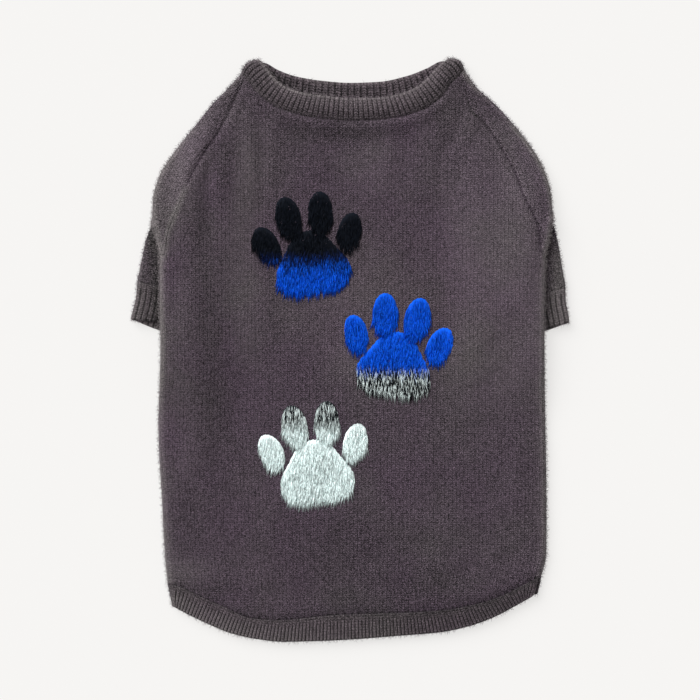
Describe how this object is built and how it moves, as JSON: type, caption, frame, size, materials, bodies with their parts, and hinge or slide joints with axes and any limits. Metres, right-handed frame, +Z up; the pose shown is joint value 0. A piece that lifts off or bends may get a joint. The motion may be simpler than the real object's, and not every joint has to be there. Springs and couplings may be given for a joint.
{
  "type": "knitted dog jumper",
  "caption": "Knitted dog jumper with raglan sleeves, ribbed neck, cuffs and hem, lying flat with its back up and the sleeves tucked under the body.",
  "frame": {"origin": "centre of the bounding box's lowest face, on the surface that the jumper lies on", "axes": "+Y from hem to neck, +Z up from the surface to the back, +X to the right in a view from above with the neck at the top"},
  "size_m": [0.2818, 0.3743, 0.0126],
  "materials": {
    "body_knit": "heathered stocking-stitch knit, soft and brushed",
    "rib_knit": "ribbed knit, heathered",
    "raised_motif": "long brushed fibres that lie down the back"
  },
  "bodies": {
    "root": {"back_panel": "body_knit", "chest_panel": "body_knit", "sleeve_left": "body_knit", "sleeve_right": "body_knit", "cuff_left": "rib_knit", "cuff_right": "rib_knit", "neck_rib": "rib_knit", "hem_rib": "rib_knit"}
  },
  "joints": []
}
